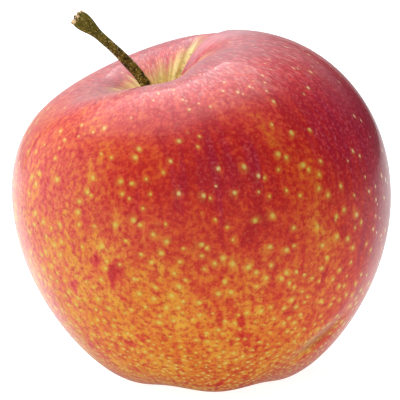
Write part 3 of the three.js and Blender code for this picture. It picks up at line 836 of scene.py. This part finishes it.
# The floor: a plain pale sweep, lit from below so that it stays white and throws light up at the apple,
# most from a spot at the right. The skin mirrors it darker, as if a dark card lay on it: all dark in
# front, and less so behind and at the far left.
FLOOR_REACH = 6.0
FLOOR_PALE, FLOOR_CARD, WHITE = "b8b8b8", "303030", "ffffff"
FLOOR_GLOW, FLOOR_ROUGHNESS, FLOOR_SHINE = 0.9, 0.9, 0.1
CARD_BACK, CARD_FRONT, CARD_SHARE_BACK = 20.0, -35.0, 0.36
CARD_LEFT_END, CARD_LEFT_START, CARD_SHARE_LEFT = -70.0, -30.0, 0.4
BRIGHT_SPOT, BRIGHT_SPOT_GLOW = (65.0, -35.0, 0.0), 0.45
BRIGHT_SPOT_EDGE, BRIGHT_SPOT_CORE = 60.0, 15.0
floor_mesh = bpy.data.meshes.new("floor")
corners = FLOOR_REACH * np.array([(-1, -1, 0), (1, -1, 0), (1, 1, 0), (-1, 1, 0)])
floor_mesh.from_pydata(corners.tolist(), [], [(0, 1, 2, 3)])
floor = bpy.data.objects.new("floor", floor_mesh)
bpy.context.collection.objects.link(floor)


def floor_material():
    """Pale matt floor that glows, with a card on it that shows only in the mirror image."""
    material, tree, shader, spot = new_material("pale_floor")
    across, depth, _ = put(tree, "SeparateXYZ", {0: spot}).outputs
    card = rise(tree, depth, CARD_BACK, CARD_FRONT, CARD_SHARE_BACK, 1.0)
    card = times(tree, card, rise(tree, across, CARD_LEFT_END, CARD_LEFT_START, CARD_SHARE_LEFT, 1.0))
    card = times(tree, card, put(tree, "LightPath").outputs["Is Glossy Ray"])
    tree.links.new(blend(tree, card, FLOOR_PALE, FLOOR_CARD), shader.inputs["Base Color"])
    from_spot = put(tree, "VectorMath", {0: spot, 1: BRIGHT_SPOT}, operation="DISTANCE").outputs["Value"]
    bright = rise(tree, from_spot, BRIGHT_SPOT_EDGE, BRIGHT_SPOT_CORE, 0.0, BRIGHT_SPOT_GLOW)
    glow = sums(tree, "ADD", added(tree, FLOOR_GLOW, card, -FLOOR_GLOW), bright)
    tree.links.new(glow, shader.inputs["Emission Strength"])
    shader.inputs["Emission Color"].default_value = paint(WHITE)
    shader.inputs["Roughness"].default_value = FLOOR_ROUGHNESS
    shader.inputs["Specular IOR Level"].default_value = FLOOR_SHINE
    return material


floor_mesh.materials.append(floor_material())

# The lamps: soft studio panels, of white cloth stretched in front of lamps and held up by stands. One is
# overhead, one at the left, and one in front only fills the shade and leaves no mirror image.
APPLE_MIDDLE = (0.0, 0.0, 0.036)


def soft_panel(name, at, towards, size, brightness):
    """A panel facing a point, its power pi times its area times the brightness that it shows."""
    light = bpy.data.lights.new(name, "AREA")
    light.shape = "RECTANGLE"
    light.size, light.size_y = size
    light.energy = brightness * math.pi * size[0] * size[1]
    panel = bpy.data.objects.new(name, light)
    bpy.context.collection.objects.link(panel)
    panel.location = at
    panel.rotation_euler = (Vector(towards) - Vector(at)).to_track_quat("-Z", "Y").to_euler()
    panel.visible_camera = False
    return panel


soft_panel("overhead", at=(-0.25, 0.27, 0.95), towards=APPLE_MIDDLE, size=(1.2, 1.0), brightness=4.8)
soft_panel("left", at=(-0.95, 0.18, 0.28), towards=APPLE_MIDDLE, size=(1.3, 0.7), brightness=1.9)
fill = soft_panel("fill", at=(0.0, -1.3, 0.55), towards=APPLE_MIDDLE, size=(1.4, 0.8), brightness=1.1)
fill.visible_glossy = False

# The room: white to look at, and dim as a light. What the skin mirrors of it is a pale back wall at the
# left, a dimmer one straight behind, and a dim ceiling at the back, so that the edges get a sheen.
ROOM_LIGHT = 0.22
BACK_WALL, BACK_WALL_SHADE = 0.62, 0.03
BACK_WALL_START, BACK_WALL_SIDE = (0.75, 0.78), (0.14, 0.04)
FAR_WALL, FAR_WALL_SHADE, FAR_WALL_START = 0.45, 0.04, (0.92, 0.98)
CEILING, CEILING_START, CEILING_FRONT = 0.5, (0.25, 0.45), (0.50, 0.60)
world = bpy.data.worlds.new("studio")
bpy.context.scene.world = world
world.use_nodes = True
room = world.node_tree
background = room.nodes["Background"]
background.inputs["Color"].default_value = paint(WHITE)
seen_by = put(room, "LightPath").outputs
direction = put(room, "TexCoord").outputs["Generated"]
across, depth, height = put(room, "SeparateXYZ", {0: direction}).outputs
back_wall = rise(room, depth, *BACK_WALL_START, BACK_WALL_SHADE, BACK_WALL)
back_wall = times(room, back_wall, rise(room, across, *BACK_WALL_SIDE))
far_wall = rise(room, depth, *FAR_WALL_START, FAR_WALL_SHADE, FAR_WALL)
ceiling = rise(room, height, *CEILING_START, 0.0, CEILING)
ceiling = times(room, ceiling, rise(room, depth, *CEILING_FRONT))
mirrored = sums(room, "MAXIMUM", sums(room, "MAXIMUM", back_wall, far_wall), ceiling)
ambient = sums(room, "ADD", seen_by["Is Camera Ray"], ROOM_LIGHT)
strength = put(room, "Mix", {0: seen_by["Is Glossy Ray"], 2: ambient, 3: mirrored}).outputs[0]
room.links.new(strength, background.inputs["Strength"])

# The camera: on a stand in front, a little above the apple's middle, and far enough off for a flat
# view. Its focal length is measured in pixels of the square picture.
PICTURE = 400
FOCAL_PIXELS = 2960
CAMERA_DISTANCE = 0.600
CAMERA_ELEVATION = math.radians(9.6)
CAMERA_AIM = np.array([-0.00028, 0.0, 0.0362])
CAMERA_SIGHT = 50.0
SENSOR_WIDTH = 36.0
camera_data = bpy.data.cameras.new("camera")
camera_data.sensor_width = SENSOR_WIDTH
camera_data.lens = FOCAL_PIXELS / PICTURE * SENSOR_WIDTH
camera_data.clip_end = CAMERA_SIGHT
camera = bpy.data.objects.new("camera", camera_data)
bpy.context.collection.objects.link(camera)
back = np.array([0.0, -math.cos(CAMERA_ELEVATION), math.sin(CAMERA_ELEVATION)])
camera.location = CAMERA_AIM + CAMERA_DISTANCE * back
camera.rotation_euler = (math.pi / 2 - CAMERA_ELEVATION, 0.0, 0.0)
bpy.context.scene.camera = camera
bpy.context.scene.view_settings.view_transform = "Standard"
